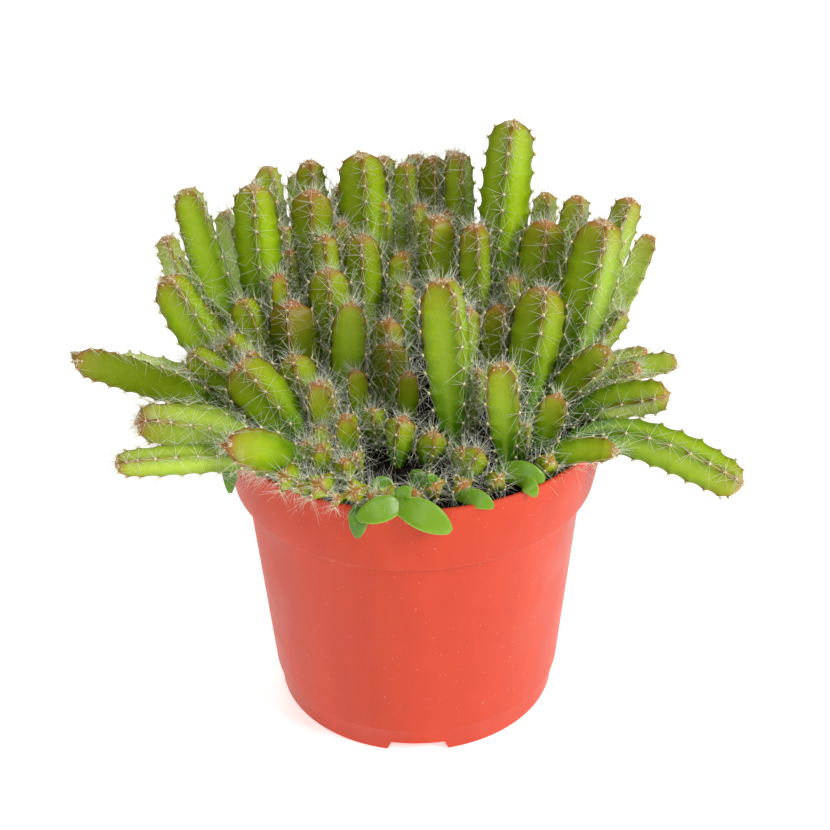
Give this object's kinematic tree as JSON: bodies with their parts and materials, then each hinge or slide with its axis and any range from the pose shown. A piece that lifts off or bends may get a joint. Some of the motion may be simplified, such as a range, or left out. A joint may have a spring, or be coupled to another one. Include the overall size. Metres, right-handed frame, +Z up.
{
  "type": "potted cactus seedlings",
  "caption": "Clump of young ribbed climbing-cactus seedlings growing in peat soil in a round terracotta-coloured plastic nursery pot.",
  "frame": {"origin": "on the pot's axis, on the plane that the pot's foot ring stands on", "axes": "+Z up along the pot's axis; -Y is the pot's front, where one foot notch faces; +X is to the right seen from the front"},
  "size_m": [0.1904, 0.1228, 0.1778],
  "materials": {
    "pot_plastic": "satin moulded terracotta-red plastic",
    "peat_soil": "dark crumbly peat",
    "cactus_flesh": "waxy yellow-green flesh, reddish at the tips, with pale bristles"
  },
  "bodies": {
    "root": {"pot": "pot_plastic", "soil": "peat_soil", "seedling_back_01": "cactus_flesh", "seedling_back_02": "cactus_flesh", "seedling_back_03": "cactus_flesh", "seedling_back_04": "cactus_flesh", "seedling_back_05": "cactus_flesh", "seedling_back_06": "cactus_flesh", "seedling_back_07": "cactus_flesh", "seedling_back_08": "cactus_flesh", "seedling_back_09": "cactus_flesh", "seedling_back_10": "cactus_flesh", "seedling_back_11": "cactus_flesh", "seedling_back_12": "cactus_flesh", "seedling_back_13": "cactus_flesh", "seedling_back_14": "cactus_flesh", "seedling_front_01": "cactus_flesh", "seedling_front_02": "cactus_flesh", "seedling_front_03": "cactus_flesh", "seedling_front_04": "cactus_flesh", "seedling_front_05": "cactus_flesh", "seedling_front_06": "cactus_flesh", "seedling_left_01": "cactus_flesh", "seedling_left_02": "cactus_flesh", "seedling_left_03": "cactus_flesh", "seedling_left_04": "cactus_flesh", "seedling_left_05": "cactus_flesh", "seedling_left_06": "cactus_flesh", "seedling_left_07": "cactus_flesh", "seedling_left_08": "cactus_flesh", "seedling_left_09": "cactus_flesh", "seedling_left_10": "cactus_flesh", "seedling_left_11": "cactus_flesh", "seedling_left_12": "cactus_flesh", "seedling_middle_01": "cactus_flesh", "seedling_middle_02": "cactus_flesh", "seedling_middle_03": "cactus_flesh", "seedling_middle_04": "cactus_flesh", "seedling_middle_05": "cactus_flesh", "seedling_middle_06": "cactus_flesh", "seedling_middle_07": "cactus_flesh", "seedling_middle_08": "cactus_flesh", "seedling_middle_09": "cactus_flesh", "seedling_middle_10": "cactus_flesh", "seedling_middle_11": "cactus_flesh", "seedling_middle_12": "cactus_flesh", "seedling_middle_13": "cactus_flesh", "seedling_middle_14": "cactus_flesh", "seedling_middle_15": "cactus_flesh", "seedling_rear_01": "cactus_flesh", "seedling_rear_02": "cactus_flesh", "seedling_rear_03": "cactus_flesh", "seedling_rear_04": "cactus_flesh", "seedling_right_01": "cactus_flesh", "seedling_right_02": "cactus_flesh", "seedling_right_03": "cactus_flesh", "seedling_right_04": "cactus_flesh", "seedling_right_05": "cactus_flesh", "seedling_right_06": "cactus_flesh", "seedling_right_07": "cactus_flesh"}
  },
  "joints": []
}
